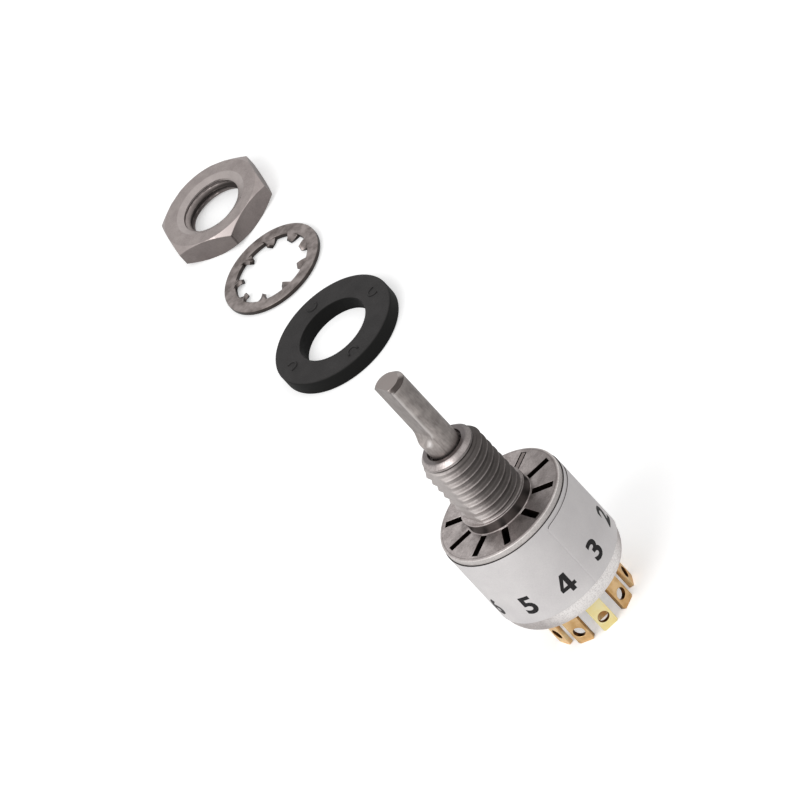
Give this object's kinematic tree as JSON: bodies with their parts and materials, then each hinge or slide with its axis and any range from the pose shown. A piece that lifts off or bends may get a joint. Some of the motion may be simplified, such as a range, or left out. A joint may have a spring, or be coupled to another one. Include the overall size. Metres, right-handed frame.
{
  "type": "rotary switch",
  "caption": "Miniature sealed rotary switch with a threaded bushing, D-shaft and solder terminals, and its panel seal, lock washer and nut lying beside it.",
  "frame": {"origin": "centre of the mounting face, where the foot of the bushing's collar meets the case", "axes": "+Z along the shaft to its tip, -Y towards position 4, +X to the right as seen from position 4; the loose seal, lock washer and nut lie in a row along +Y"},
  "size_m": [0.0131, 0.1001, 0.032],
  "materials": {
    "case": "tumbled and nickel plated, dulled by handling",
    "label": "satin printed film",
    "blade": "blanked strip",
    "hard_steel": "hardened and polished",
    "sleeve": "moulded thermoset",
    "base": "moulded thermoset, filled",
    "gold_plate": "blanked brass with gold plate",
    "shaft": "drawn stainless bar, fine axial marks",
    "rubber": "moulded rubber, matt",
    "rotor": "moulded thermoset",
    "carrier": "moulded thermoset",
    "spring_steel": "drawn music wire",
    "washer": "stamped and nickel plated",
    "nut": "turned hexagon bar, nickel plated"
  },
  "bodies": {
    "root": {"housing": "case", "label_wrap": "label", "stop_blade": "blade", "detent_ring": "hard_steel", "spacer_sleeve": "sleeve", "terminal_base": "base", "terminal_1": "gold_plate", "terminal_2": "gold_plate", "terminal_3": "gold_plate", "terminal_4": "gold_plate", "terminal_5": "gold_plate", "terminal_6": "gold_plate", "terminal_7": "gold_plate", "terminal_8": "gold_plate", "terminal_9": "gold_plate", "terminal_10": "gold_plate", "common_terminal": "gold_plate", "common_contact": "gold_plate", "panel_seal": "rubber", "lock_washer": "washer", "mounting_nut": "nut"},
    "rotor": {"shaft": "shaft", "shaft_seal": "rubber", "thrust_washer": "hard_steel", "retaining_ring": "hard_steel", "rotor_hub": "rotor", "contact_carrier": "carrier", "wiper": "gold_plate", "wiper_spring": "spring_steel", "detent_spring_1": "spring_steel", "detent_spring_2": "spring_steel"},
    "ball_1": {"detent_ball_1": "hard_steel"},
    "ball_2": {"detent_ball_2": "hard_steel"}
  },
  "joints": [
    {"name": "shaft_rotation", "type": "hinge", "parent": "root", "child": "rotor", "pos_m": [0, 0, 0], "axis": [0, 0, 1], "range_deg": [-324, 0]},
    {"name": "ball_1_travel", "type": "slide", "parent": "rotor", "child": "ball_1", "axis": [-0.309, 0.9511, 0], "range_m": [0, 0.0002]},
    {"name": "ball_2_travel", "type": "slide", "parent": "rotor", "child": "ball_2", "axis": [0.309, -0.9511, 0], "range_m": [0, 0.0002]}
  ]
}
